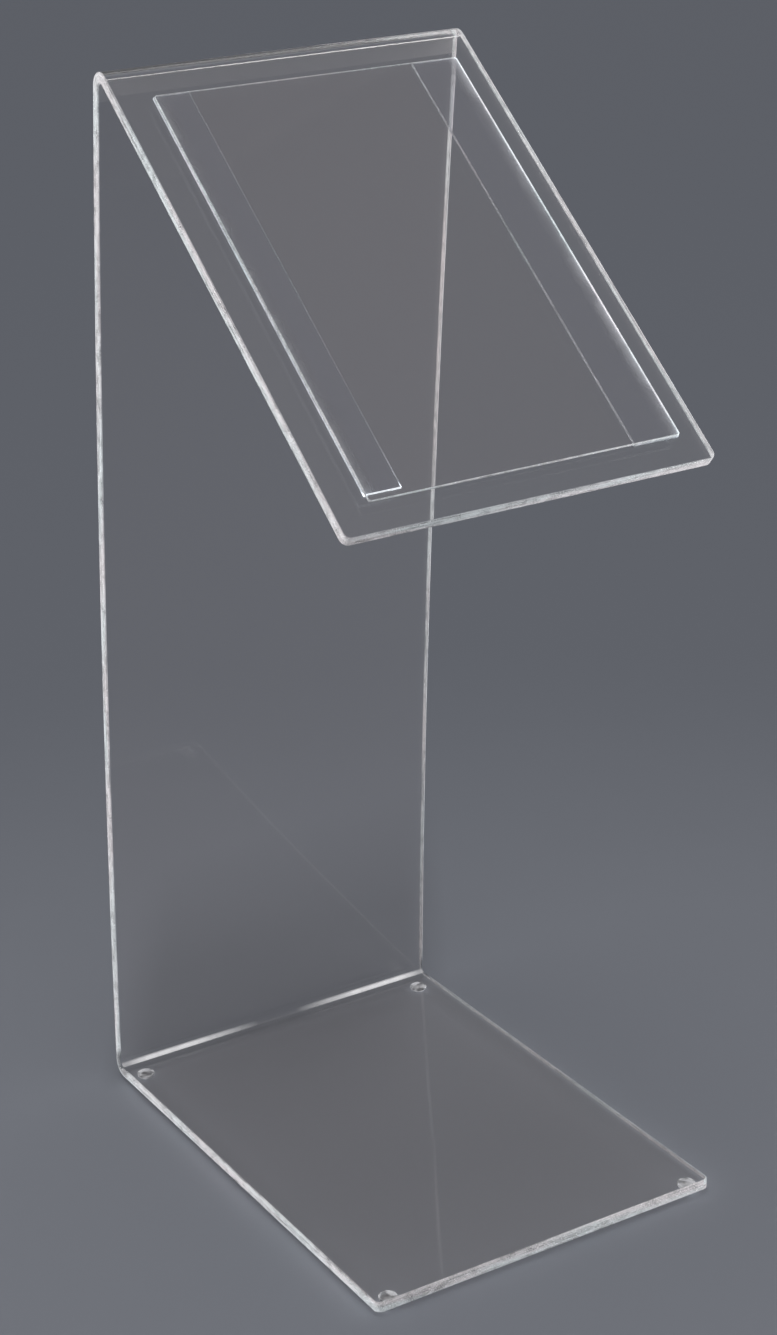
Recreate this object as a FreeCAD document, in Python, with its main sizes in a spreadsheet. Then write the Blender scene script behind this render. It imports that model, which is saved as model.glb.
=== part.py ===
# Clear acrylic presentation lectern.
#
# One thick clear sheet is bent twice: it lies on the floor as the base, turns up at the
# back as a gently bowed upright, and folds over at the top into the sloping desk.
# A thin clear cover sheet sits on the desk on two spacer strips, which leaves a flat
# pocket for a printed page, and four clear bumper feet carry the base.
#
# Frame: millimetres, +Z up, +X to the reader's right, the reader stands at -Y.
# The origin is on the floor, in the middle of the lectern's footprint.

import FreeCAD, Part
import math
import os
import Sketcher

# Driving dimensions, in millimetres and degrees.
DIMENSIONS = [
    ("sheet_width", 420, "width of the bent sheet"),
    ("sheet_thickness", 12, "thickness of the bent sheet"),
    ("bend_inner_radius", 5, "inside radius of both bends"),
    ("base_depth", 596, "front edge of the base to the back of the lower bend"),
    ("top_bend_forward", 125, "upper bend's centre, forward of the lower bend's centre"),
    ("top_bend_height", 1175, "upper bend's centre above the floor"),
    ("bow_radius", 13300, "radius of the upright's middle surface"),
    ("desk_slope", 39.2, "slope of the desk below the horizontal, degrees"),
    ("desk_length", 569, "flat length of the desk, from the upper bend to its front edge"),
    ("corner_radius", 8, "rounding of the sheet's four corners"),
    ("edge_bevel", 1.2, "bevel along the polished edges"),
    ("cover_width", 353, "cover sheet, across the desk"),
    ("cover_length", 503, "cover sheet, down the slope"),
    ("cover_thickness", 3, "cover sheet"),
    ("cover_from_bend", 35.5, "flat desk left above the cover sheet"),
    ("cover_shift", 4, "cover sheet's centre, right of the desk's centre"),
    ("cover_bevel", 0.4, "bevel round the cover sheet's faces"),
    ("cover_corner_radius", 3, "rounding of the cover sheet's corners"),
    ("strip_thickness", 3, "spacer strips, which is the depth of the pocket"),
    ("left_strip_width", 40, "spacer strip at the reader's left"),
    ("right_strip_width", 54, "spacer strip at the reader's right"),
    ("left_strip_setback", 9, "left strip's lower end, above the cover sheet's lower edge"),
    ("right_strip_setback", 0.5, "right strip's lower end, above the cover sheet's lower edge"),
    ("foot_diameter", 20, "bumper foot where it sticks to the base"),
    ("foot_rim", 1, "straight rim below the foot's upper face"),
    ("foot_height", 5, "gap between the base and the floor"),
    ("foot_side_inset", 21, "foot's centre from the side of the base"),
    ("foot_front_inset", 14, "foot's centre from the front of the base"),
    ("foot_back_inset", 35, "foot's centre from the back of the lectern"),
]

doc = FreeCAD.newDocument("lectern")


def make_sheet_of_dimensions():
    """Write the driving dimensions into a spreadsheet, one alias to a row."""
    sheet = doc.addObject("Spreadsheet::Sheet", "dims")
    for row, (alias, value, note) in enumerate(DIMENSIONS, start=1):
        sheet.set(f"A{row}", note)
        sheet.set(f"B{row}", str(value))
        sheet.setAlias(f"B{row}", alias)
    doc.recompute()
    return sheet


dims = make_sheet_of_dimensions()


def size(alias):
    """A driving dimension as a plain number, for placing a sketch's first draft."""
    return float(getattr(dims, alias))


def new_body(label):
    """An empty body whose label is the sub-part's name."""
    body = doc.addObject("PartDesign::Body", label)
    body.Label = label
    return body


def new_sketch(body, name, plane_role):
    """A sketch on one of the body's own origin planes."""
    sketch = body.newObject("Sketcher::SketchObject", name)
    planes = [feature for feature in body.Origin.OriginFeatures if feature.Role == plane_role]
    sketch.AttachmentSupport = (planes[0], [""])
    sketch.MapMode = "FlatFace"
    return sketch


def vector(first, second):
    """A point in a sketch's own plane."""
    return FreeCAD.Vector(first, second, 0)


def add_line(sketch, start, end):
    return sketch.addGeometry(Part.LineSegment(start, end), False)


def add_arc(sketch, centre, radius, start_angle, end_angle):
    """An arc drawn anticlockwise, its angles in radians."""
    circle = Part.Circle(centre, FreeCAD.Vector(0, 0, 1), radius)
    return sketch.addGeometry(Part.ArcOfCircle(circle, start_angle, end_angle), False)


def nearest_ends(sketch, first, second):
    """The vertex of each piece of geometry, 1 or 2, where the two pieces meet."""
    pairs = [(a, b) for a in (1, 2) for b in (1, 2)]
    return min(pairs, key=lambda pair: sketch.getPoint(first, pair[0]).distanceToPoint(
        sketch.getPoint(second, pair[1])))


def join(sketch, kind, first, second):
    """Join two pieces end to end, with a corner (Coincident) or smoothly (Tangent)."""
    first_end, second_end = nearest_ends(sketch, first, second)
    sketch.addConstraint(Sketcher.Constraint(kind, first, first_end, second, second_end))


def dimension(sketch, name, expression, *constraint):
    """Add a sketch dimension and bind it to the spreadsheet."""
    index = sketch.addConstraint(Sketcher.Constraint(*constraint))
    sketch.renameConstraint(index, name)
    sketch.setExpression(f"Constraints.{name}", expression)


def pad(body, sketch, name, length_expression, symmetric=False):
    """Pad a sketch, away from its plane or to both sides of it."""
    feature = body.newObject("PartDesign::Pad", name)
    feature.Profile = sketch
    if symmetric:
        feature.SideType = "Symmetric"
    feature.setExpression("Length", length_expression)
    doc.recompute()
    return feature


def dress_edges(body, kind, base, name, edge_names, property_name, expression):
    """Fillet or chamfer the named edges of a body's last feature."""
    feature = body.newObject(kind, name)
    feature.Base = (base, edge_names)
    feature.setExpression(property_name, expression)
    doc.recompute()
    return feature


def edge_names_where(shape, test):
    """Names of the edges for which the test holds."""
    return [f"Edge{index}" for index, edge in enumerate(shape.Edges, start=1) if test(edge)]


# ---------------------------------------------------------------- the bent sheet

def draw_side_profile(sketch):
    """Draw the bent sheet's closed side view: sketch X is the row's Y, sketch Y is its Z.

    The skin runs along the underside of the base, round the outside of the lower bend, up
    the back of the upright, over the upper bend and down the desk, then returns inside.
    """
    thickness = size("sheet_thickness")
    inner = size("bend_inner_radius")
    outer = inner + thickness
    floor_gap = size("foot_height")
    half_depth = size("base_depth") / 2
    slope = math.radians(size("desk_slope"))
    bow_outer = size("bow_radius") + thickness / 2
    bow_inner = size("bow_radius") - thickness / 2

    lower = vector(half_depth - outer, floor_gap + outer)
    upper = vector(lower.x - size("top_bend_forward"), size("top_bend_height"))

    # The bowed faces are arcs about one far centre, in front of the upright.
    chord = upper - lower
    reach = bow_inner - inner
    drop = math.sqrt(reach ** 2 - (chord.Length / 2) ** 2)
    to_front = vector(-chord.y, chord.x).normalize()
    bow_centre = (lower + upper) * 0.5 + to_front * drop
    lower_lean = math.atan2(lower.y - bow_centre.y, lower.x - bow_centre.x)
    upper_lean = math.atan2(upper.y - bow_centre.y, upper.x - bow_centre.x)

    down_slope = vector(-math.cos(slope), -math.sin(slope))
    outward = vector(-math.sin(slope), math.cos(slope))
    desk_angle = math.pi / 2 + slope
    desk_top = upper + outward * outer
    desk_under = upper + outward * inner
    run = down_slope * size("desk_length")
    front = -half_depth
    level_top = floor_gap + thickness

    underside = add_line(sketch, vector(front, floor_gap), vector(lower.x, floor_gap))
    lower_outside = add_arc(sketch, lower, outer, -math.pi / 2, lower_lean)
    back_face = add_arc(sketch, bow_centre, bow_outer, lower_lean, upper_lean)
    upper_outside = add_arc(sketch, upper, outer, upper_lean, desk_angle)
    desk_face = add_line(sketch, desk_top, desk_top + run)
    desk_end = add_line(sketch, desk_top + run, desk_under + run)
    desk_back = add_line(sketch, desk_under + run, desk_under)
    upper_inside = add_arc(sketch, upper, inner, upper_lean, desk_angle)
    front_face = add_arc(sketch, bow_centre, bow_inner, lower_lean, upper_lean)
    lower_inside = add_arc(sketch, lower, inner, -math.pi / 2, lower_lean)
    base_face = add_line(sketch, vector(lower.x, level_top), vector(front, level_top))
    base_end = add_line(sketch, vector(front, level_top), vector(front, floor_gap))

    smooth = [underside, lower_outside, back_face, upper_outside, desk_face]
    for first, second in zip(smooth, smooth[1:]):
        join(sketch, "Tangent", first, second)
    smooth = [desk_back, upper_inside, front_face, lower_inside, base_face]
    for first, second in zip(smooth, smooth[1:]):
        join(sketch, "Tangent", first, second)
    for first, second in [(desk_face, desk_end), (desk_end, desk_back),
                          (base_face, base_end), (base_end, underside)]:
        join(sketch, "Coincident", first, second)

    sketch.addConstraint(Sketcher.Constraint("Horizontal", underside))
    sketch.addConstraint(Sketcher.Constraint("Vertical", base_end))
    sketch.addConstraint(Sketcher.Constraint("Horizontal", base_face))
    sketch.addConstraint(Sketcher.Constraint("Perpendicular", desk_face, desk_end))
    sketch.addConstraint(Sketcher.Constraint("Parallel", desk_face, desk_back))
    sketch.addConstraint(Sketcher.Constraint("Coincident", lower_outside, 3, lower_inside, 3))
    sketch.addConstraint(Sketcher.Constraint("Coincident", upper_outside, 3, upper_inside, 3))

    # Named sizes. Vertex 3 of an arc is its centre, and -1, 1 is the sketch's origin.
    bow = "dims.bow_radius"
    half = "dims.sheet_thickness / 2"
    outer_radius = "(dims.bend_inner_radius + dims.sheet_thickness)"
    dimension(sketch, "lower_inner_radius", "dims.bend_inner_radius", "Radius", lower_inside, inner)
    dimension(sketch, "upper_inner_radius", "dims.bend_inner_radius", "Radius", upper_inside, inner)
    dimension(sketch, "back_bow", f"{bow} + {half}", "Radius", back_face, bow_outer)
    dimension(sketch, "front_bow", f"{bow} - {half}", "Radius", front_face, bow_inner)
    dimension(sketch, "base_gauge", "dims.sheet_thickness", "Distance", base_end, thickness)
    dimension(sketch, "desk_gauge", "dims.sheet_thickness", "Distance", desk_end, thickness)
    dimension(sketch, "desk_run", "dims.desk_length", "Distance", desk_face, size("desk_length"))
    dimension(sketch, "floor_gap", "dims.foot_height",
              "DistanceY", -1, 1, underside, 1, floor_gap)
    dimension(sketch, "front_reach", "dims.base_depth / 2",
              "DistanceX", underside, 1, -1, 1, half_depth)
    dimension(sketch, "lower_bend_back", f"dims.base_depth / 2 - {outer_radius}",
              "DistanceX", -1, 1, lower_outside, 3, lower.x)
    dimension(sketch, "bend_spread", "dims.top_bend_forward",
              "DistanceX", upper_outside, 3, lower_outside, 3, size("top_bend_forward"))
    dimension(sketch, "upper_bend_rise", "dims.top_bend_height",
              "DistanceY", -1, 1, upper_outside, 3, upper.y)
    dimension(sketch, "desk_rise", "dims.desk_slope * 1 deg", "Angle", desk_back, slope)


def make_bent_sheet():
    """Base, upright and desk, all one sheet, with rounded corners and bevelled edges."""
    body = new_body("bent_sheet")
    profile = new_sketch(body, "side_profile", "YZ_Plane")
    draw_side_profile(profile)
    doc.recompute()
    sheet = pad(body, profile, "sheet", "dims.sheet_width", symmetric=True)

    thickness = size("sheet_thickness")
    half_width = size("sheet_width") / 2
    tolerance = 0.01

    def is_corner(edge):
        on_side = all(abs(abs(v.X) - half_width) < tolerance for v in edge.Vertexes)
        return on_side and abs(edge.Length - thickness) < tolerance

    corners = edge_names_where(sheet.Shape, is_corner)
    rounded = dress_edges(body, "PartDesign::Fillet", sheet, "rounded_corners", corners,
                          "Radius", "dims.corner_radius")

    side_area = max(face.Area for face in rounded.Shape.Faces if abs(face.CenterOfMass.x) > half_width - 1)
    side_faces = [face for face in rounded.Shape.Faces
                  if abs(face.CenterOfMass.x) > half_width - 1 and face.Area > side_area / 2]
    rim = [edge for face in side_faces for edge in face.Edges if edge.Length > thickness + 1]

    def is_rim(edge):
        return any(edge.isSame(other) for other in rim)

    bevelled = dress_edges(body, "PartDesign::Chamfer", rounded, "bevelled_edges",
                           edge_names_where(rounded.Shape, is_rim), "Size", "dims.edge_bevel")
    body.Tip = bevelled
    return body


# ---------------------------------------------------------------- pieces on the desk

def place_on_desk(body, lift):
    """Set a flat body on the desk: its X runs across, its Y up the slope, its Z outward.

    Its origin goes to the middle of the desk, at the upper bend, lift above the surface.
    """
    reach = f"(dims.bend_inner_radius + dims.sheet_thickness + {lift})"
    upper_y = ("(dims.base_depth / 2 - dims.bend_inner_radius - dims.sheet_thickness"
               " - dims.top_bend_forward)")
    body.Placement = FreeCAD.Placement(
        FreeCAD.Vector(), FreeCAD.Rotation(FreeCAD.Vector(1, 0, 0), size("desk_slope")))
    body.setExpression("Placement.Rotation.Angle", "dims.desk_slope * 1 deg")
    body.setExpression("Placement.Base.y", f"{upper_y} - {reach} * sin(dims.desk_slope)")
    body.setExpression("Placement.Base.z", f"dims.top_bend_height + {reach} * cos(dims.desk_slope)")


def make_flat_panel(label, left, right, upper, lower, gauge, lift):
    """A flat rectangular panel on the desk.

    left and right are its edges across the desk, upper and lower its distances down the
    slope from the bend, gauge its thickness and lift its height above the desk, each one
    an expression.
    """
    body = new_body(label)
    outline = new_sketch(body, label + "_outline", "XY_Plane")
    corners = [vector(-50, -200), vector(50, -200), vector(50, -100), vector(-50, -100)]
    sides = [add_line(outline, a, b) for a, b in zip(corners, corners[1:] + corners[:1])]
    for first, second in zip(sides, sides[1:] + sides[:1]):
        outline.addConstraint(Sketcher.Constraint("Coincident", first, 2, second, 1))
    bottom_side, right_side, top_side, left_side = sides
    for side in (bottom_side, top_side):
        outline.addConstraint(Sketcher.Constraint("Horizontal", side))
    for side in (right_side, left_side):
        outline.addConstraint(Sketcher.Constraint("Vertical", side))
    dimension(outline, "right_edge", right, "DistanceX", -1, 1, right_side, 1, 50)
    dimension(outline, "width", f"({right}) - ({left})", "DistanceX", bottom_side, 1, bottom_side, 2, 100)
    dimension(outline, "upper_edge", upper, "DistanceY", right_side, 2, -1, 1, 100)
    dimension(outline, "run", f"({lower}) - ({upper})", "DistanceY", right_side, 1, right_side, 2, 100)
    doc.recompute()
    panel = pad(body, outline, label + "_panel", gauge)
    place_on_desk(body, lift)
    return body, panel


def make_cover_sheet():
    """The clear sheet that holds a page against the desk."""
    lower = "dims.cover_from_bend + dims.cover_length"
    body, panel = make_flat_panel(
        "cover_sheet", "dims.cover_shift - dims.cover_width / 2",
        "dims.cover_shift + dims.cover_width / 2", "dims.cover_from_bend", lower,
        "dims.cover_thickness", "dims.strip_thickness")
    gauge = size("cover_thickness")
    tolerance = 0.01

    def is_corner(edge):
        return abs(edge.Length - gauge) < tolerance

    rounded = dress_edges(body, "PartDesign::Fillet", panel, "cover_corners",
                          edge_names_where(panel.Shape, is_corner), "Radius",
                          "dims.cover_corner_radius")
    faces = sorted(rounded.Shape.Faces, key=lambda face: face.Area)[-2:]

    def is_rim(edge):
        return any(edge.isSame(other) for face in faces for other in face.Edges)

    body.Tip = dress_edges(body, "PartDesign::Chamfer", rounded, "cover_edges",
                           edge_names_where(rounded.Shape, is_rim), "Size", "dims.cover_bevel")
    return body


def make_spacer_strips():
    """The two strips that carry the cover sheet, one along each long side."""
    left_edge = "dims.cover_shift - dims.cover_width / 2"
    right_edge = "dims.cover_shift + dims.cover_width / 2"
    lower_edge = "dims.cover_from_bend + dims.cover_length"
    left, _ = make_flat_panel(
        "spacer_strip_left", left_edge, f"{left_edge} + dims.left_strip_width",
        "dims.cover_from_bend", f"{lower_edge} - dims.left_strip_setback",
        "dims.strip_thickness", "0")
    right, _ = make_flat_panel(
        "spacer_strip_right", f"{right_edge} - dims.right_strip_width", right_edge,
        "dims.cover_from_bend", f"{lower_edge} - dims.right_strip_setback",
        "dims.strip_thickness", "0")
    return [left, right]


# ---------------------------------------------------------------- bumper feet

def make_foot(label, side, y_expression):
    """A clear domed bumper: flat on top where it sticks, rounded down to a small flat."""
    radius = size("foot_diameter") / 2
    height = size("foot_height")
    dome_radius = height - size("foot_rim")
    flat = radius - dome_radius

    body = new_body(label)
    profile = new_sketch(body, label + "_profile", "XZ_Plane")
    axis = add_line(profile, vector(0, 0), vector(0, height))
    top = add_line(profile, vector(0, height), vector(radius, height))
    rim = add_line(profile, vector(radius, height), vector(radius, dome_radius))
    dome = add_arc(profile, vector(flat, dome_radius), dome_radius, -math.pi / 2, 0)
    bottom = add_line(profile, vector(flat, 0), vector(0, 0))
    for first, second in [(axis, top), (top, rim), (bottom, axis)]:
        join(profile, "Coincident", first, second)
    for first, second in [(rim, dome), (dome, bottom)]:
        join(profile, "Tangent", first, second)
    for line in (axis, rim):
        profile.addConstraint(Sketcher.Constraint("Vertical", line))
    for line in (top, bottom):
        profile.addConstraint(Sketcher.Constraint("Horizontal", line))
    profile.addConstraint(Sketcher.Constraint("Coincident", axis, 1, -1, 1))
    dimension(profile, "height", "dims.foot_height", "Distance", axis, height)
    dimension(profile, "radius", "dims.foot_diameter / 2", "Distance", top, radius)
    dimension(profile, "rim_depth", "dims.foot_rim", "Distance", rim, height - dome_radius)
    doc.recompute()

    turned = body.newObject("PartDesign::Revolution", label + "_turned")
    turned.Profile = profile
    turned.ReferenceAxis = (profile, ["V_Axis"])
    turned.Angle = 360
    body.Tip = turned
    body.setExpression("Placement.Base.x", f"{side} * (dims.sheet_width / 2 - dims.foot_side_inset)")
    body.setExpression("Placement.Base.y", y_expression)
    return body


def make_feet():
    """Four feet, one near each corner of the base."""
    rows = {"front": "dims.foot_front_inset - dims.base_depth / 2",
            "back": "dims.base_depth / 2 - dims.foot_back_inset"}
    sides = {"left": -1, "right": 1}
    return [make_foot(f"foot_{row}_{name}", side, rows[row])
            for row in rows for name, side in sides.items()]


# ---------------------------------------------------------------- build, check and write

def check_and_write(parts):
    """Stop if anything failed, then write one STEP file for each sub-part."""
    doc.recompute()
    failed = [item.Name for item in doc.Objects if {"Invalid", "Error"} & set(item.State)]
    if failed:
        raise RuntimeError("failed objects: " + ", ".join(failed))
    for part in parts:
        if part.Shape.isNull() or not part.Shape.isValid() or len(part.Shape.Solids) != 1:
            raise RuntimeError("bad shape: " + part.Label)
    os.makedirs("parts", exist_ok=True)
    for part in parts:
        part.Shape.exportStep(os.path.join("parts", part.Label + ".step"))
        box = part.Shape.BoundBox
        print(f"{part.Label}: volume {part.Shape.Volume:.0f} mm3, "
              f"X {box.XMin:.1f} to {box.XMax:.1f}, Y {box.YMin:.1f} to {box.YMax:.1f}, "
              f"Z {box.ZMin:.1f} to {box.ZMax:.1f}")


check_and_write([make_bent_sheet(), make_cover_sheet()] + make_spacer_strips() + make_feet())
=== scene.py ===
# Clear acrylic presentation lectern: its looks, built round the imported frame.
#
# Metres, +Z up, +X to the reader's right; the reader stands at -Y. The bent sheet, the
# cover, its two strips and the feet are all flat plates or turned shapes with rounded
# edges. Each plate is laid out flat first, then bent or set on the desk.

import bpy
import math
from mathutils import Matrix, Vector


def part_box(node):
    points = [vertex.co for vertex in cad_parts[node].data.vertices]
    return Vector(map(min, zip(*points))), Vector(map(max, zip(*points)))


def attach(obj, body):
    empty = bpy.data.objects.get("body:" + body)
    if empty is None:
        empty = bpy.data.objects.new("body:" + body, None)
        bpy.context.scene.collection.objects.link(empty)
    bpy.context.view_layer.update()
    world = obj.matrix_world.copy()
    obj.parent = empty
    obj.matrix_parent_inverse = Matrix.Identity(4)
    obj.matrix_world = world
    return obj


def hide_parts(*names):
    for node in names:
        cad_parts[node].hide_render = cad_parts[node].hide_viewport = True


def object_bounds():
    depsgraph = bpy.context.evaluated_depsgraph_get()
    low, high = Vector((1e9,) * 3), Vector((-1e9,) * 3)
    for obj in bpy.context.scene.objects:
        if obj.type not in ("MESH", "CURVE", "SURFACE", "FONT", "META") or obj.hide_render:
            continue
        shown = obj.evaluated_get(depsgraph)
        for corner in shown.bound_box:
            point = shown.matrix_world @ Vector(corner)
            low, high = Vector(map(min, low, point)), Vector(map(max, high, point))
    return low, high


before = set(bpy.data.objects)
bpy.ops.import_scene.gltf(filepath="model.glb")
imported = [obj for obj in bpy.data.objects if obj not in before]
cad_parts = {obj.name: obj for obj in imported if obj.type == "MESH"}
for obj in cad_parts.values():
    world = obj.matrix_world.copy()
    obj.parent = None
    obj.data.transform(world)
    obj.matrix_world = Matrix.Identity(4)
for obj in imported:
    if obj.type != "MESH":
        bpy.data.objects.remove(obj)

cad_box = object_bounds()

# ---------------------------------------------------------------- sizes

SHEET_GAUGE = 0.012
BEND_INSIDE = 0.005
BEND_OUTSIDE = BEND_INSIDE + SHEET_GAUGE
BOW_RADIUS = 13.3
TOP_BEND_FORWARD = 0.125
DESK_SLOPE = math.radians(39.2)
DESK_LENGTH = 0.569
SHEET_CORNER = 0.008
SHEET_BEVEL = 0.0012
COVER_GAUGE = 0.003
COVER_CORNER = 0.003
COVER_BEVEL = 0.0008
STRIP_GAUGE = 0.003
STRIP_CORNER = 0.0008
STRIP_BEVEL = 0.0005
BOND_GAP = 0.00004          # clear film of glue between touching pieces
FOOT_DOME = 0.004
FOOT_RADIUS = 0.01
FOOT_ROUND_OVER = 0.0004
RIM_DEPTH = (0.002, 0.004)  # a node's side counts as its rim up to the first, not past the second
END_RISE = (0.003, 0.005)   # the same for a strip's lower end, in height
GLUE_CLOUD = 0.016          # how far in from the cover's sides the glue looks cloudy
PAINTED_GLUE_GLOW_REACH = 0.012           # how far in the painted glow on the glue reaches

CLEAR_ACRYLIC_IOR = 1.49
LONGEST_LIGHT_PATH = 400    # light runs from end to end inside a clear sheet by mirroring

sheet_low, sheet_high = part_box("bent_sheet")
sheet_width = sheet_high.x - sheet_low.x

lower_bend = Vector((0, sheet_high.y - BEND_OUTSIDE, sheet_low.z + BEND_OUTSIDE))
upper_bend = Vector((0, lower_bend.y - TOP_BEND_FORWARD, sheet_high.z - BEND_OUTSIDE))


# ---------------------------------------------------------------- the sheet's path

def direction(angle):
    """A unit vector in the side view, measured from +Y towards +Z."""
    return Vector((0, math.cos(angle), math.sin(angle)))


def bow_centre():
    """The far point that the bowed upright curves round, well in front of the lectern."""
    chord = upper_bend - lower_bend
    reach = BOW_RADIUS - BEND_INSIDE - SHEET_GAUGE / 2
    drop = math.sqrt(reach ** 2 - (chord.length / 2) ** 2)
    to_front = Vector((0, -chord.z, chord.y)).normalized()
    return (lower_bend + upper_bend) / 2 + to_front * drop


def lean(centre, point):
    """The angle at which a point is seen from a centre, in the side view."""
    return math.atan2(point.z - centre.z, point.y - centre.y)


def sheet_spans():
    """The sheet's middle surface as spans: a length, and where its outer face looks.

    Each span is (length, start angle, end angle, centre, radius) for a bend and
    (length, angle, angle, start point, None) for a flat.
    """
    centre = bow_centre()
    start_lean, end_lean = lean(centre, lower_bend), lean(centre, upper_bend)
    desk_angle = math.pi / 2 + DESK_SLOPE
    middle = BEND_INSIDE + SHEET_GAUGE / 2
    down = -math.pi / 2
    base_start = Vector((0, sheet_low.y, sheet_low.z + SHEET_GAUGE / 2))
    desk_start = upper_bend + direction(desk_angle) * middle
    return [
        (lower_bend.y - sheet_low.y, down, down, base_start, None),
        ((start_lean - down) * middle, down, start_lean, lower_bend, middle),
        ((end_lean - start_lean) * BOW_RADIUS, start_lean, end_lean, centre, BOW_RADIUS),
        ((desk_angle - end_lean) * middle, end_lean, desk_angle, upper_bend, middle),
        (DESK_LENGTH, desk_angle, desk_angle, desk_start, None),
    ]


def along_sheet(distance):
    """The point and the outer face's direction at a distance from the base's front edge."""
    spans = sheet_spans()
    for index, (length, first, last, origin, radius) in enumerate(spans):
        if distance <= length or index == len(spans) - 1:
            break
        distance -= length
    outward = direction(first + (last - first) * distance / length)
    if radius is None:
        return origin + direction(first + math.pi / 2) * distance, outward
    return origin + outward * radius, outward


def sheet_rows():
    """Distances along the sheet at which it needs a row of points: few on flats, many on bends."""
    steps_per_span = [12, 60, 80, 60, 12]
    rows, start = [], 0.0
    for (length, *_), steps in zip(sheet_spans(), steps_per_span):
        rows += [start + length * step / steps for step in range(steps)]
        start += length
    return rows + [start]


# ---------------------------------------------------------------- flat plates

def half_outline(width, length, corner, rows):
    """One long side of a rounded rectangle: (across, along, outward across, outward along)."""
    steps = 8
    side = []
    for step in range(steps + 1):
        turn = math.pi / 2 * step / steps
        side.append((width / 2 - corner + corner * math.sin(turn), corner - corner * math.cos(turn),
                     math.sin(turn), -math.cos(turn)))
    side += [(width / 2, row, 1.0, 0.0) for row in rows if corner * 1.2 < row < length - corner * 1.2]
    for step in range(steps + 1):
        turn = math.pi / 2 * step / steps
        side.append((width / 2 - corner + corner * math.cos(turn),
                     length - corner + corner * math.sin(turn), math.cos(turn), math.sin(turn)))
    return side


def rim_profile(gauge, bevel):
    """The plate's edge from its outer face to its inner: (inset, height, outward, upward)."""
    steps = 4
    turns = [math.pi / 2 * (1 - step / steps) for step in range(steps + 1)]
    upper = [(bevel - bevel * math.cos(turn), gauge / 2 - bevel + bevel * math.sin(turn),
              math.cos(turn), math.sin(turn)) for turn in turns]
    lower = [(inset, -height, out, -up) for inset, height, out, up in reversed(upper)]
    return upper + lower


def plate(name, width, length, gauge, corner, bevel, rows, place, face_material, edge_material):
    """A rounded plate with rounded edges.

    place(across, along, height) gives a point's place and the plate's three directions
    there. The faces take one material and the rim another. The map holds metres: across
    and along on the faces, round the rim and through the plate on the rim.
    """
    right = half_outline(width, length, corner, rows)
    left = [(-across, along, -out, on) for across, along, out, on in right]
    outline = right + left[::-1]
    count, half = len(outline), len(right)

    round_rim = [0.0]
    for (a, b, *_), (c, d, *_) in zip(outline, outline[1:] + outline[:1]):
        round_rim.append(round_rim[-1] + math.hypot(c - a, d - b))

    points, normals, flat = [], [], []
    profile = rim_profile(gauge, bevel)
    for inset, height, out_share, up_share in profile:
        for across, along, out, on in outline:
            spot = (across - out * inset, along - on * inset, height)
            point, x_way, y_way, z_way = place(*spot)
            normal = x_way * out * out_share + y_way * on * out_share + z_way * up_share
            points.append(point)
            normals.append(normal.normalized())
            flat.append(spot)

    faces, kinds, maps = [], [], []

    def add_face(corners, kind, spots):
        """Add a face given anticlockwise on the flat plate, whose three directions are left-handed."""
        faces.append(corners[::-1])
        kinds.append(kind)
        maps.extend(spots[::-1])

    for level in range(len(profile) - 1):
        for index in range(count):
            following = (index + 1) % count
            corners = [level * count + index, (level + 1) * count + index,
                       (level + 1) * count + following, level * count + following]
            ends = [round_rim[index], round_rim[index], round_rim[index + 1], round_rim[index + 1]]
            add_face(corners, 1, [(end, flat[spot][2]) for end, spot in zip(ends, corners)])
    lowest = (len(profile) - 1) * count
    for index in range(half - 1):
        opposite = count - 1 - index
        over = [index, index + 1, opposite - 1, opposite]
        under = [lowest + opposite, lowest + opposite - 1, lowest + index + 1, lowest + index]
        for corners in (over, under):
            add_face(corners, 0, [flat[spot][:2] for spot in corners])

    mesh = bpy.data.meshes.new(name)
    mesh.from_pydata(points, [], faces)
    mesh.materials.append(face_material)
    mesh.materials.append(edge_material)
    mesh.polygons.foreach_set("material_index", kinds)
    mesh.polygons.foreach_set("use_smooth", [True] * len(faces))
    layer = mesh.uv_layers.new(name="plate_map")
    layer.data.foreach_set("uv", [value for spot in maps for value in spot])
    mesh.normals_split_custom_set_from_vertices(normals)
    mesh.validate()
    piece = bpy.data.objects.new(name, mesh)
    bpy.context.collection.objects.link(piece)
    return piece


def bent_place(across, along, height):
    """A point of the bent sheet from its place on the flat sheet."""
    point, outward = along_sheet(along)
    onward = Vector((0, -outward.z, outward.y))
    return point + Vector((across, 0, 0)) + outward * height, Vector((1, 0, 0)), onward, outward


def on_desk(node, gauge, level):
    """A placing function for a flat piece that lies on the desk, and its size.

    The piece is as wide and long as its node, with its middle level metres above the desk.
    """
    low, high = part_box(node)
    outward = direction(math.pi / 2 + DESK_SLOPE)
    onward = direction(math.pi + DESK_SLOPE)
    length = (high.y - low.y - gauge * math.sin(DESK_SLOPE)) / math.cos(DESK_SLOPE)
    centre = (low + high) / 2
    top = upper_bend + outward * (BEND_OUTSIDE + level)
    start = top + onward * ((centre - top).dot(onward) - length / 2)
    start.x = centre.x

    def place(across, along, height):
        point = start + Vector((across, 0, 0)) + onward * along + outward * height
        return point, Vector((1, 0, 0)), onward, outward

    return place, high.x - low.x, length


# ---------------------------------------------------------------- materials

def principled(tree):
    return next(node for node in tree.nodes if node.type == "BSDF_PRINCIPLED")


def new_material(name):
    """An empty node material, its tree and its Principled shader."""
    material = bpy.data.materials.new(name)
    material.use_nodes = True
    tree = material.node_tree
    return material, tree, principled(tree)


def add_node(tree, kind, **values):
    """Add a node and set its properties, or its sockets where a name is a socket's."""
    node = tree.nodes.new(kind)
    for name, value in values.items():
        label = name.replace("_", " ").title()
        if label in node.inputs:
            node.inputs[label].default_value = value
        else:
            setattr(node, name, value)
    return node


def link(tree, source, target):
    tree.links.new(source, target)


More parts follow.
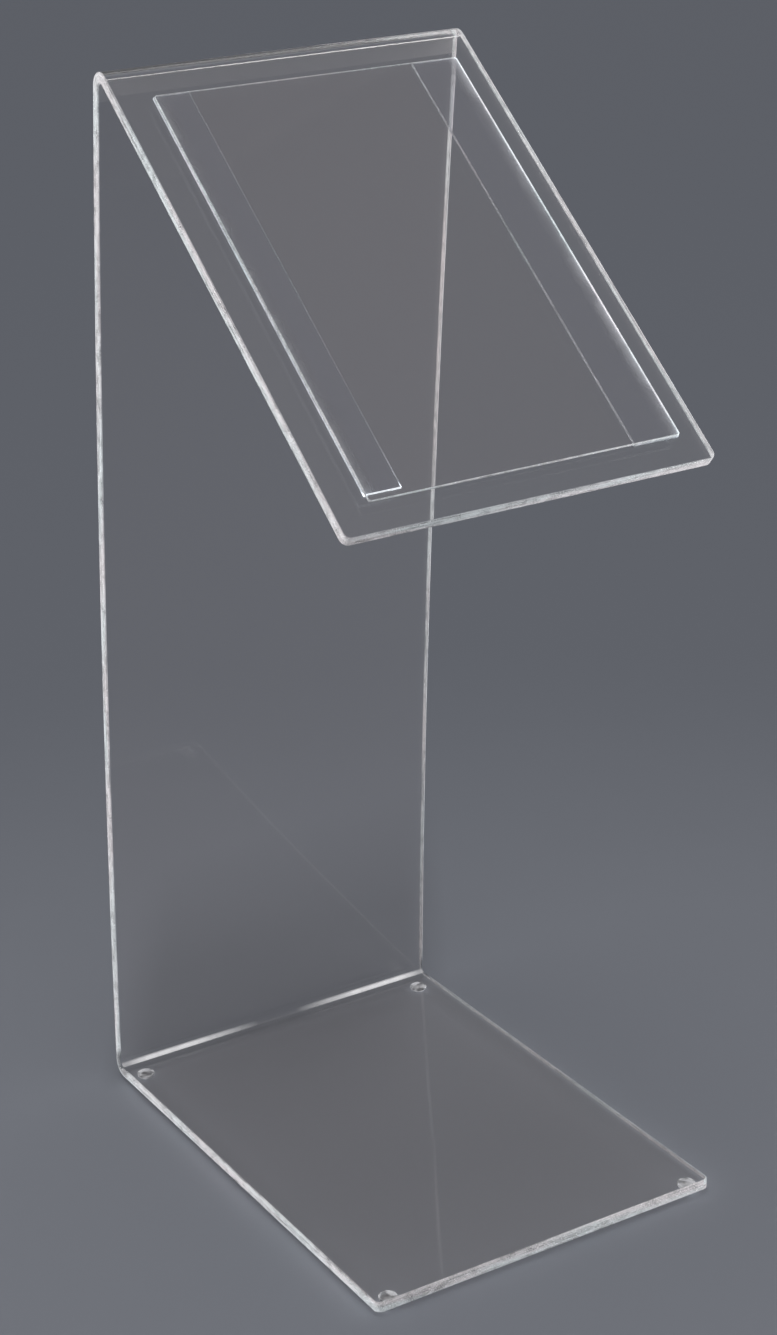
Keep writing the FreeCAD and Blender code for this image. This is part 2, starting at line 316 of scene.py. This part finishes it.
def plate_coordinates(tree, stretch):
    """The plate's own map in metres, stretched by three factors."""
    source = add_node(tree, "ShaderNodeUVMap", uv_map="plate_map")
    mapping = add_node(tree, "ShaderNodeMapping")
    mapping.inputs["Scale"].default_value = stretch
    link(tree, source.outputs["UV"], mapping.inputs["Vector"])
    return mapping.outputs["Vector"]


def object_coordinates(tree):
    return add_node(tree, "ShaderNodeTexCoord").outputs["Object"]


def noise(tree, coordinates, scale, detail=3.0, roughness=0.5):
    """Soft random patches, from 0 to 1."""
    node = add_node(tree, "ShaderNodeTexNoise", scale=scale, detail=detail, roughness=roughness)
    link(tree, coordinates, node.inputs["Vector"])
    return node.outputs["Fac"]


def remap(tree, source, low, high, from_low=0.0, from_high=1.0):
    """A value carried from one range to another, and held inside the new one."""
    node = add_node(tree, "ShaderNodeMapRange")
    limits = {"From Min": from_low, "From Max": from_high, "To Min": low, "To Max": high}
    for name, value in limits.items():
        node.inputs[name].default_value = value
    link(tree, source, node.inputs["Value"])
    return node.outputs["Result"]


def arithmetic(tree, operation, first, second):
    """One sum on two inputs, each an output of another node or a plain number."""
    node = add_node(tree, "ShaderNodeMath", operation=operation)
    for socket, value in zip(node.inputs, (first, second)):
        if isinstance(value, float):
            socket.default_value = value
        else:
            link(tree, value, socket)
    return node.outputs["Value"]


def bump(tree, height, distance):
    """The surface's direction where a height from 0 to 1 stands for up to distance metres."""
    node = add_node(tree, "ShaderNodeBump", strength=1.0, distance=distance)
    link(tree, height, node.inputs["Height"])
    return node.outputs["Normal"]


def clear_face(name, tint, haze, clearness=0.99):
    """A polished clear face: wiped smudges, hairline scratches and the faintest waviness."""
    material, tree, shader = new_material(name)
    shader.inputs["Base Color"].default_value = (*tint, 1)
    shader.inputs["Transmission Weight"].default_value = clearness
    shader.inputs["IOR"].default_value = CLEAR_ACRYLIC_IOR
    place = object_coordinates(tree)
    smudges = remap(tree, noise(tree, place, 9.0, 5.0, 0.6), 0.0, 1.0, 0.52, 0.72)
    hairlines = noise(tree, plate_coordinates(tree, (900, 14, 1)), 1.0, 2.0)
    hairlines = remap(tree, hairlines, 0.0, 1.0, 0.70, 0.78)
    rough = arithmetic(tree, "ADD", arithmetic(tree, "MULTIPLY", smudges, haze),
                       arithmetic(tree, "MULTIPLY", hairlines, haze * 0.8))
    link(tree, arithmetic(tree, "ADD", rough, 0.012), shader.inputs["Roughness"])
    waves = noise(tree, place, 5.0, 1.0)
    link(tree, bump(tree, waves, 0.0004), shader.inputs["Normal"])
    return material


def from_axis(tree, axis):
    """How far a point is from a bend's axis, which runs along X."""
    apart = add_node(tree, "ShaderNodeVectorMath", operation="SUBTRACT")
    link(tree, object_coordinates(tree), apart.inputs[0])
    apart.inputs[1].default_value = axis
    in_side_view = add_node(tree, "ShaderNodeVectorMath", operation="MULTIPLY")
    link(tree, apart.outputs["Vector"], in_side_view.inputs[0])
    in_side_view.inputs[1].default_value = (0, 1, 1)
    length = add_node(tree, "ShaderNodeVectorMath", operation="LENGTH")
    link(tree, in_side_view.outputs["Vector"], length.inputs[0])
    return length.outputs["Value"]


def away_from_foot(tree):
    """1 on most of the sheet's rim, falling to 0 where it goes round the lower bend."""
    return remap(tree, from_axis(tree, lower_bend), 0.0, 1.0, BEND_OUTSIDE * 0.6, BEND_OUTSIDE * 1.15)


def through_plate(tree, gauge):
    """How far a point of the rim is from the middle of the plate: 0 there, 1 at its faces."""
    parts = add_node(tree, "ShaderNodeSeparateXYZ")
    link(tree, plate_coordinates(tree, (1, 1, 1)), parts.inputs["Vector"])
    return arithmetic(tree, "MULTIPLY", arithmetic(tree, "ABSOLUTE", parts.outputs["Y"], 0.0), 2 / gauge)


def object_axes(tree):
    """The three coordinates of a point, each as an output."""
    parts = add_node(tree, "ShaderNodeSeparateXYZ")
    link(tree, object_coordinates(tree), parts.inputs["Vector"])
    return parts.outputs["X"], parts.outputs["Y"], parts.outputs["Z"]


def painted_edge_glow(tree, node, most):
    """A painted glow on a sheet's right edge, for the light that runs inside the sheet and leaves there:
    more, higher up.
    """
    across, _, height = object_axes(tree)
    right_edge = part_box(node)[1].x
    at_right = remap(tree, across, 0.0, most, right_edge - RIM_DEPTH[1], right_edge - RIM_DEPTH[0])
    return arithmetic(tree, "MULTIPLY", at_right, remap(tree, height, 0.04, 1.0, 0.1, 0.95))


def in_from_cover_side(tree):
    """How far in a point of the cover or a strip is from the nearer side of the cover."""
    low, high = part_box("cover_sheet")
    across, _, _ = object_axes(tree)
    aside = arithmetic(tree, "ABSOLUTE", arithmetic(tree, "SUBTRACT", across, (low.x + high.x) / 2), 0.0)
    return arithmetic(tree, "SUBTRACT", (high.x - low.x) / 2, aside)


def painted_strip_glow(tree, side, end, inner_glow_cut):
    """The painted glow on the strips' outer sides and the left strip's lower end.

    The last argument is the painted glow taken off the left strip's inner side, except near that end.
    """
    across, _, height = object_axes(tree)
    low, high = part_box("spacer_strip_left")
    at_side = remap(tree, in_from_cover_side(tree), side, 0.0, *RIM_DEPTH)
    on_left = remap(tree, across, 1.0, 0.0, high.x + RIM_DEPTH[0], high.x + RIM_DEPTH[1])
    at_end = remap(tree, height, end, 0.0, low.z + END_RISE[0], low.z + END_RISE[1])
    on_inner = remap(tree, across, 0.0, 1.0, high.x - RIM_DEPTH[1], high.x - RIM_DEPTH[0])
    up_strip = remap(tree, height, 0.0, -inner_glow_cut, low.z + 0.01, low.z + 0.06)
    at_inner = arithmetic(tree, "MULTIPLY", up_strip, on_inner)
    left_only = arithmetic(tree, "MULTIPLY", arithmetic(tree, "ADD", at_end, at_inner), on_left)
    return arithmetic(tree, "ADD", at_side, left_only)


def cut_edge(name, warm, cool, glow, clearness, gauge, extra_glow, bent=False):
    """A sawn and flame-polished edge with a painted glow, which stands for the light that runs inside
    the sheet.

    The middle of the cut scatters light, so it is whiter, and carries most of the painted glow; the
    polished bevels are clearer. Long streaks run along it, flame polishing leaves it beaded, and
    its white drifts between a warm and a cool one. A bent sheet's edge is clear at its foot, where
    the light leaves the sheet, and has no painted glow there. The glow argument is the painted
    glow all round, and the function given with it adds more painted glow on parts of the rim.
    """
    material, tree, shader = new_material(name)
    shader.inputs["IOR"].default_value = CLEAR_ACRYLIC_IOR
    streaks = noise(tree, plate_coordinates(tree, (9, 520, 1)), 1.0, 2.0)
    beads = noise(tree, plate_coordinates(tree, (75, 110, 1)), 1.0, 2.0)
    grain = noise(tree, plate_coordinates(tree, (1400, 500, 1)), 1.0, 2.0)
    scatter = arithmetic(tree, "ADD", arithmetic(tree, "MULTIPLY", streaks, 0.45),
                         arithmetic(tree, "MULTIPLY", beads, 0.35))
    scatter = arithmetic(tree, "ADD", scatter, arithmetic(tree, "MULTIPLY", grain, 0.2))
    scatter = remap(tree, scatter, 0.35, 1.0, 0.39, 0.55)
    core = remap(tree, through_plate(tree, gauge), 1.0, 0.7, 0.7, 1.0)
    scatter = arithmetic(tree, "MULTIPLY", scatter, core)
    if bent:
        scatter = arithmetic(tree, "MULTIPLY", scatter, away_from_foot(tree))
    link(tree, remap(tree, scatter, 1.0, clearness), shader.inputs["Transmission Weight"])
    # Painted glow: emission on the edge, strongest where the cut scatters.
    painted_glow_total = arithmetic(tree, "ADD", extra_glow(tree), glow)
    link(tree, arithmetic(tree, "MULTIPLY", scatter, painted_glow_total), shader.inputs["Emission Strength"])
    shade = add_node(tree, "ShaderNodeValToRGB")
    shade.color_ramp.elements[0].position = 0.4
    shade.color_ramp.elements[0].color = (*warm, 1)
    shade.color_ramp.elements[1].position = 0.6
    shade.color_ramp.elements[1].color = (*cool, 1)
    link(tree, noise(tree, plate_coordinates(tree, (7, 60, 1)), 1.0, 2.0), shade.inputs["Fac"])
    for socket in ("Base Color", "Emission Color"):
        link(tree, shade.outputs["Color"], shader.inputs[socket])
    link(tree, remap(tree, grain, 0.1, 0.4), shader.inputs["Roughness"])
    link(tree, bump(tree, grain, 0.00005), shader.inputs["Normal"])
    return material


def bend_face(name, tint, axis, half_width):
    """The clear faces of a heat bend, hazed white low on the inside some way in from each side.

    That white haze, with a painted glow on it, is partly a painted highlight: the bright line along
    the crease, dimmer in its middle.
    """
    material, tree, shader = new_material(name)
    shader.inputs["Base Color"].default_value = (*tint, 1)
    shader.inputs["IOR"].default_value = CLEAR_ACRYLIC_IOR
    across, _, height = object_axes(tree)
    aside = arithmetic(tree, "MULTIPLY", arithmetic(tree, "ABSOLUTE", across, 0.0), 1 / half_width)
    whitening_and_highlight = add_node(tree, "ShaderNodeValToRGB")
    ramp = whitening_and_highlight.color_ramp
    ramp.elements[0].position, ramp.elements[0].color = 0.12, (0, 0, 0, 1)
    ramp.elements[1].position, ramp.elements[1].color = 0.55, (1, 1, 1, 1)
    for position, level in ((0.84, 1.0), (0.97, 0.4)):
        ramp.elements.new(position).color = (level, level, level, 1)
    link(tree, aside, whitening_and_highlight.inputs["Fac"])
    inside = remap(tree, from_axis(tree, axis), 1.0, 0.0, BEND_INSIDE * 1.2, BEND_INSIDE * 1.5)
    below = remap(tree, height, 1.0, 0.0, axis.z - BEND_INSIDE * 0.6, axis.z - BEND_INSIDE * 0.05)
    inside = arithmetic(tree, "MULTIPLY", inside, below)
    patches = remap(tree, noise(tree, object_coordinates(tree), 60.0, 3.0), 0.85, 1.0, 0.35, 0.6)
    haze = arithmetic(tree, "MULTIPLY", arithmetic(tree, "MULTIPLY", inside, patches),
                      whitening_and_highlight.outputs["Color"])
    link(tree, remap(tree, haze, 1.0, 0.05), shader.inputs["Transmission Weight"])
    link(tree, remap(tree, haze, 0.02, 0.3), shader.inputs["Roughness"])
    shader.inputs["Emission Color"].default_value = (0.96, 0.98, 1.0, 1)
    link(tree, remap(tree, haze, 0.0, 0.17), shader.inputs["Emission Strength"])
    return material


def bonded_strip(name, tint, haze):
    """A clear strip, cloudy in patches along its outer side where the glue is, with a painted glow
    there, stronger towards the right.
    """
    material = clear_face(name, tint, haze)
    tree = material.node_tree
    shader = principled(tree)
    inwards = in_from_cover_side(tree)
    patches = remap(tree, noise(tree, object_coordinates(tree), 22.0, 3.0), 0.3, 1.0, 0.4, 0.6)
    cloud = arithmetic(tree, "MULTIPLY", remap(tree, inwards, 1.0, 0.0, 0.0, GLUE_CLOUD), patches)
    link(tree, remap(tree, cloud, 0.98, 0.4), shader.inputs["Transmission Weight"])
    shader.inputs["Emission Color"].default_value = (0.93, 0.97, 1.0, 1)
    low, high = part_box("cover_sheet")
    across, _, _ = object_axes(tree)
    painted_glue_glow = arithmetic(tree, "MULTIPLY", remap(tree, inwards, 1.0, 0.0, 0.0, PAINTED_GLUE_GLOW_REACH), patches)
    rightwards = remap(tree, across, 0.02, 0.08, low.x, high.x)
    link(tree, arithmetic(tree, "MULTIPLY", painted_glue_glow, rightwards), shader.inputs["Emission Strength"])
    return material


def soft_bumper(name, radius):
    """Clear moulded polyurethane, satin and a little hazy, with a painted glow, broken in places, round
    its rim.
    """
    material, tree, shader = new_material(name)
    shader.inputs["Base Color"].default_value = (0.95, 0.96, 0.97, 1)
    shader.inputs["Transmission Weight"].default_value = 0.5
    shader.inputs["IOR"].default_value = 1.5
    skin = noise(tree, object_coordinates(tree), 900.0, 3.0)
    link(tree, remap(tree, skin, 0.12, 0.3), shader.inputs["Roughness"])
    link(tree, bump(tree, skin, 0.00004), shader.inputs["Normal"])
    parts = add_node(tree, "ShaderNodeSeparateXYZ")
    link(tree, plate_coordinates(tree, (1, 1, 1)), parts.inputs["Vector"])
    # Painted glow round the rim, broken in places by noise.
    rim = remap(tree, parts.outputs["X"], 0.0, 0.3, radius * 0.84, radius * 0.94)
    arcs = remap(tree, noise(tree, object_coordinates(tree), 130.0, 1.0), 0.0, 1.0, 0.42, 0.62)
    shader.inputs["Emission Color"].default_value = (0.95, 0.97, 1.0, 1)
    link(tree, arithmetic(tree, "MULTIPLY", rim, arcs), shader.inputs["Emission Strength"])
    return material


# The floor's colour carries a painted pool of light, painted light under the base and a painted shadow
# behind the upright.
LIGHTEST_SPOT = (-0.61, -1.03, 0)     # the brightest place of the painted pool of light, in front and to the left
POOL_OF_LIGHT = (1.36, 2.86)          # how far from there the painted pool of light starts and stops fading
FLOOR_IN_LIGHT = (0.583, 0.608, 0.664)
FLOOR_BEYOND = (0.419, 0.441, 0.49)
PAINTED_LIFT_TONES = (0.12, 0.3)              # how much lighter the floor is painted under the base
PAINTED_LIFT_DEPTHS = (-0.1, 0.22)            # where under the base the first and the second hold
SHADE_AZIMUTH = 31                    # degrees by which the upright's painted shadow falls to the right
SHADE_REACH = (0.22, 0.52)            # how far behind the upright it starts and stops fading
SHADE_LOSS = 0.2


def under_base(tree, across, depth):
    """1 on the floor under the base, 0 elsewhere, with soft edges."""
    soft = 0.03
    foot = lower_bend.y
    aside = arithmetic(tree, "ABSOLUTE", across, 0.0)
    within = remap(tree, aside, 1.0, 0.0, sheet_width / 2 - soft, sheet_width / 2)
    past_front = remap(tree, depth, 0.0, 1.0, sheet_low.y, sheet_low.y + soft)
    short_of_back = remap(tree, depth, 1.0, 0.0, foot - soft / 2, foot + soft / 2)
    return arithmetic(tree, "MULTIPLY", within, arithmetic(tree, "MULTIPLY", past_front, short_of_back))


def shade_of_upright(tree, across, depth):
    """Where the painted shadow of the upright lies: 1 on the floor close behind the upright, away from
    the reader's left, falling softly to 0.
    """
    slant = math.tan(math.radians(SHADE_AZIMUTH))
    behind = arithmetic(tree, "SUBTRACT", depth, lower_bend.y)
    drift = arithmetic(tree, "MULTIPLY", behind, slant)
    aside = arithmetic(tree, "ABSOLUTE", arithmetic(tree, "SUBTRACT", across, drift), 0.0)
    within = remap(tree, aside, 1.0, 0.0, sheet_width / 2 - 0.03, sheet_width / 2 + 0.035)
    start = remap(tree, behind, 0.0, 1.0, -0.015, 0.015)
    fade = remap(tree, behind, 1.0, 0.0, *SHADE_REACH)
    return arithmetic(tree, "MULTIPLY", within, arithmetic(tree, "MULTIPLY", start, fade))


def studio_floor(name):
    """Plain pale grey floor, slightly mottled, with a painted pool of light brightest in front of the
    lectern, to its left.

    The floor under the clear base is painted lighter, most at the back, and a soft painted
    shadow lies behind the upright.
    """
    material, tree, shader = new_material(name)
    place = object_coordinates(tree)
    across, depth, _ = object_axes(tree)
    away = add_node(tree, "ShaderNodeVectorMath", operation="DISTANCE")
    link(tree, place, away.inputs[0])
    away.inputs[1].default_value = LIGHTEST_SPOT
    mottling = arithmetic(tree, "MULTIPLY", noise(tree, place, 3.0, 6.0, 0.65), 0.12)
    reach = remap(tree, away.outputs["Value"], 0.0, 1.0, *POOL_OF_LIGHT)
    shade = add_node(tree, "ShaderNodeValToRGB")
    shade.color_ramp.interpolation = "EASE"
    shade.color_ramp.elements[0].color = (*FLOOR_IN_LIGHT, 1)
    shade.color_ramp.elements[1].color = (*FLOOR_BEYOND, 1)
    link(tree, arithmetic(tree, "ADD", reach, mottling), shade.inputs["Fac"])
    # Painted light: the floor under the clear base is made lighter in colour, most at the back.
    painted_lift = arithmetic(tree, "MULTIPLY", under_base(tree, across, depth),
                      remap(tree, depth, *PAINTED_LIFT_TONES, *PAINTED_LIFT_DEPTHS))
    # Painted shadow: the floor close behind the upright is darkened in colour.
    painted_shade_loss = arithmetic(tree, "MULTIPLY", shade_of_upright(tree, across, depth), SHADE_LOSS)
    level = arithmetic(tree, "SUBTRACT", arithmetic(tree, "ADD", painted_lift, 1.0), painted_shade_loss)
    lit = add_node(tree, "ShaderNodeVectorMath", operation="SCALE")
    link(tree, shade.outputs["Color"], lit.inputs[0])
    link(tree, level, lit.inputs["Scale"])
    link(tree, lit.outputs["Vector"], shader.inputs["Base Color"])
    shader.inputs["Roughness"].default_value = 0.85
    shader.inputs["Specular IOR Level"].default_value = 0.2
    return material


SHEET_TINT = (1.0, 0.982, 0.978)

SHEET_FACE = clear_face("sheet_face", SHEET_TINT, haze=0.05, clearness=0.985)
SHEET_EDGE = cut_edge("sheet_edge", warm=(1.0, 0.955, 0.968), cool=(0.94, 0.99, 1.0),
                      glow=0.14, clearness=0.3, gauge=SHEET_GAUGE,
                      extra_glow=lambda tree: painted_edge_glow(tree, "bent_sheet", 0.4), bent=True)
LOWER_BEND_FACE = bend_face("lower_bend_face", SHEET_TINT, lower_bend, sheet_width / 2)
# The upper bend's faces are hazier and a little white, partly a painted highlight along the outer bend.
UPPER_BEND_FACE = clear_face("upper_bend_face", SHEET_TINT, haze=0.4, clearness=0.83)
COVER_FACE = clear_face("cover_face", (0.97, 0.95, 0.95), haze=0.05)
COVER_EDGE = cut_edge("cover_edge", warm=(0.98, 0.96, 0.98), cool=(0.92, 0.99, 1.0),
                      glow=0.2, clearness=0.35, gauge=COVER_GAUGE,
                      extra_glow=lambda tree: painted_edge_glow(tree, "cover_sheet", 0.45))
STRIP_FACE = bonded_strip("strip_face", (0.93, 0.95, 0.99), haze=0.12)
STRIP_EDGE = cut_edge("strip_edge", warm=(0.95, 0.93, 1.0), cool=(0.88, 0.96, 1.0),
                      glow=0.2, clearness=0.4, gauge=STRIP_GAUGE,
                      extra_glow=lambda tree: painted_strip_glow(tree, side=0.15, end=1.1, inner_glow_cut=0.12))
BUMPER = soft_bumper("bumper", FOOT_RADIUS)
FLOOR = studio_floor("floor")


# ---------------------------------------------------------------- pieces

lectern = bpy.data.collections.new("lectern")


def put_in(piece, node):
    """Let a piece stand for a node and ride with the lectern."""
    lectern.objects.link(piece)
    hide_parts(node)
    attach(piece, "root")


def make_bent_sheet():
    rows = sheet_rows()
    piece = plate("bent_sheet_look", sheet_width, rows[-1], SHEET_GAUGE, SHEET_CORNER, SHEET_BEVEL,
                  rows, bent_place, SHEET_FACE, SHEET_EDGE)
    for axis, finish in ((lower_bend, LOWER_BEND_FACE), (upper_bend, UPPER_BEND_FACE)):
        piece.data.materials.append(finish)
        for face in piece.data.polygons:
            to_bend = face.center - axis
            to_bend.x = 0
            if face.material_index == 0 and to_bend.length < BEND_OUTSIDE * 1.01:
                face.material_index = len(piece.data.materials) - 1
    put_in(piece, "bent_sheet")


def make_desk_plate(node, gauge, level, corner, bevel, face, edge):
    """The cover or a strip, its middle level metres above the desk."""
    place, width, length = on_desk(node, gauge, level)
    rows = [length * step / 12 for step in range(13)]
    thin = gauge - 2 * BOND_GAP
    piece = plate(node + "_look", width, length, thin, corner, bevel, rows, place, face, edge)
    put_in(piece, node)


def make_foot(node):
    """A bumper foot turned round its axis: flat top, short rim, domed down to a flat."""
    low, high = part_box(node)
    centre = (low + high) / 2
    top = high.z - BOND_GAP
    steps, segments = 8, 48
    rounding = [(math.pi / 2 * (1 - step / steps), FOOT_ROUND_OVER, top - FOOT_ROUND_OVER)
                for step in range(steps + 1)]
    dome = [(-math.pi / 2 * step / steps, FOOT_DOME, FOOT_DOME) for step in range(steps + 1)]
    outline = []
    for turn, radius, level in rounding + dome:
        out, up = math.cos(turn), math.sin(turn)
        outline.append((FOOT_RADIUS - radius + radius * out, level + radius * up, out, up))

    points, normals, flat = [], [], []
    for reach, height, out, up in outline:
        for segment in range(segments):
            turn = 2 * math.pi * segment / segments
            way = Vector((math.cos(turn), math.sin(turn), 0))
            points.append(Vector((centre.x, centre.y, height)) + way * reach)
            flat.append((reach, height))
            normals.append(way * out + Vector((0, 0, up)))
    faces = []
    for ring in range(len(outline) - 1):
        for segment in range(segments):
            following = (segment + 1) % segments
            faces.append([ring * segments + segment, (ring + 1) * segments + segment,
                          (ring + 1) * segments + following, ring * segments + following])
    last = (len(outline) - 1) * segments
    faces.append(list(range(segments)))
    faces.append([last + segment for segment in reversed(range(segments))])

    mesh = bpy.data.meshes.new(node + "_look")
    mesh.from_pydata(points, [], faces)
    mesh.materials.append(BUMPER)
    mesh.polygons.foreach_set("use_smooth", [True] * len(faces))
    layer = mesh.uv_layers.new(name="plate_map")
    layer.data.foreach_set("uv", [value for face in faces for corner in face for value in flat[corner]])
    mesh.normals_split_custom_set_from_vertices(normals)
    piece = bpy.data.objects.new(node + "_look", mesh)
    bpy.context.collection.objects.link(piece)
    put_in(piece, node)


make_bent_sheet()
make_desk_plate("cover_sheet", COVER_GAUGE, STRIP_GAUGE + COVER_GAUGE / 2,
                COVER_CORNER, COVER_BEVEL, COVER_FACE, COVER_EDGE)
for strip in ("spacer_strip_left", "spacer_strip_right"):
    make_desk_plate(strip, STRIP_GAUGE, STRIP_GAUGE / 2,
                    STRIP_CORNER, STRIP_BEVEL, STRIP_FACE, STRIP_EDGE)
for end in ("front", "back"):
    for side in ("left", "right"):
        make_foot(f"foot_{end}_{side}")


# ---------------------------------------------------------------- floor, light and camera

def make_floor():
    """A floor so wide that its far edge lies below the horizon."""
    reach = 60.0
    mesh = bpy.data.meshes.new("floor")
    mesh.from_pydata([(-reach, -reach, 0), (reach, -reach, 0), (reach, reach, 0), (-reach, reach, 0)],
                     [], [(0, 1, 2, 3)])
    mesh.materials.append(FLOOR)
    floor = bpy.data.objects.new("floor", mesh)
    bpy.context.collection.objects.link(floor)


def from_azimuth(azimuth, elevation):
    """The way to a viewer: azimuth 0 stands at -Y, and a positive one to the right of it."""
    a, e = math.radians(azimuth), math.radians(elevation)
    return Vector((math.sin(a) * math.cos(e), -math.cos(a) * math.cos(e), math.sin(e)))


middle = (cad_box[0] + cad_box[1]) / 2


def softbox(name, azimuth, elevation, distance, width, height, radiance):
    """A rectangle of soft light that faces the middle of the lectern, out of the camera's sight."""
    lamp = bpy.data.lights.new(name, "AREA")
    lamp.shape = "RECTANGLE"
    lamp.size, lamp.size_y = width, height
    lamp.energy = radiance * width * height * math.pi
    holder = bpy.data.objects.new(name, lamp)
    way = from_azimuth(azimuth, elevation)
    holder.location = middle + way * distance
    holder.rotation_euler = way.to_track_quat("Z", "Y").to_euler()
    holder.visible_camera = False
    bpy.context.collection.objects.link(holder)
    return holder


def edge_light(name, seen=False, **box):
    """A softbox that lights only the lectern, so that the floor round it stays plain.

    seen says whether its shape shows, mirrored in the clear sheet or through it.
    """
    holder = softbox(name, **box)
    holder.visible_glossy = seen
    holder.visible_transmission = seen
    holder.light_linking.receiver_collection = lectern


def make_world(horizon, zenith):
    """Soft light from all round, stronger from above."""
    world = bpy.data.worlds.new("studio")
    world.use_nodes = True
    tree = world.node_tree
    backdrop = next(node for node in tree.nodes if node.type == "BACKGROUND")
    way = add_node(tree, "ShaderNodeTexCoord").outputs["Generated"]
    parts = add_node(tree, "ShaderNodeSeparateXYZ")
    link(tree, way, parts.inputs["Vector"])
    shade = add_node(tree, "ShaderNodeValToRGB")
    shade.color_ramp.elements[0].color = (*horizon, 1)
    shade.color_ramp.elements[1].color = (*zenith, 1)
    link(tree, parts.outputs["Z"], shade.inputs["Fac"])
    link(tree, shade.outputs["Color"], backdrop.inputs["Color"])
    bpy.context.scene.world = world


def make_camera():
    """The photograph's viewpoint: to the reader's left, above the desk, slightly rolled."""
    azimuth, elevation, roll = -30.70, 21.28, -1.95
    distance = 2.874
    aim = middle + Vector((-0.0017, -0.0120, -0.0283))
    lens = bpy.data.cameras.new("camera")
    lens.lens = 73.5
    lens.sensor_width = 36.0
    lens.clip_end = 200.0
    back = from_azimuth(azimuth, elevation)
    camera = bpy.data.objects.new("camera", lens)
    camera.matrix_world = (Matrix.Translation(aim + back * distance)
                           @ back.to_track_quat("Z", "Y").to_matrix().to_4x4()
                           @ Matrix.Rotation(math.radians(roll), 4, "Z"))
    bpy.context.collection.objects.link(camera)
    bpy.context.scene.camera = camera


make_floor()
make_world(horizon=(0.109, 0.117, 0.136), zenith=(0.319, 0.32, 0.33))
softbox("softbox_overhead", azimuth=-60, elevation=80, distance=3.6, width=2.2, height=2.2,
        radiance=0.4)
edge_light("softbox_left", azimuth=-95, elevation=6, distance=3.0, width=1.6, height=2.4,
           radiance=6.5)
edge_light("softbox_front", azimuth=50, elevation=0, distance=1.2, width=0.6, height=1.0,
           radiance=5.7)
edge_light("softbox_behind", azimuth=128, elevation=50, distance=4.4, width=2.0, height=1.6,
           radiance=1.15, seen=True)
make_camera()

scene = bpy.context.scene
scene.view_settings.view_transform = "Standard"
scene.cycles.use_denoising = True
scene.cycles.max_bounces = LONGEST_LIGHT_PATH
scene.cycles.transmission_bounces = LONGEST_LIGHT_PATH
scene.cycles.glossy_bounces = LONGEST_LIGHT_PATH
scene.cycles.diffuse_bounces = 6
scene.cycles.sample_clamp_indirect = 6.0
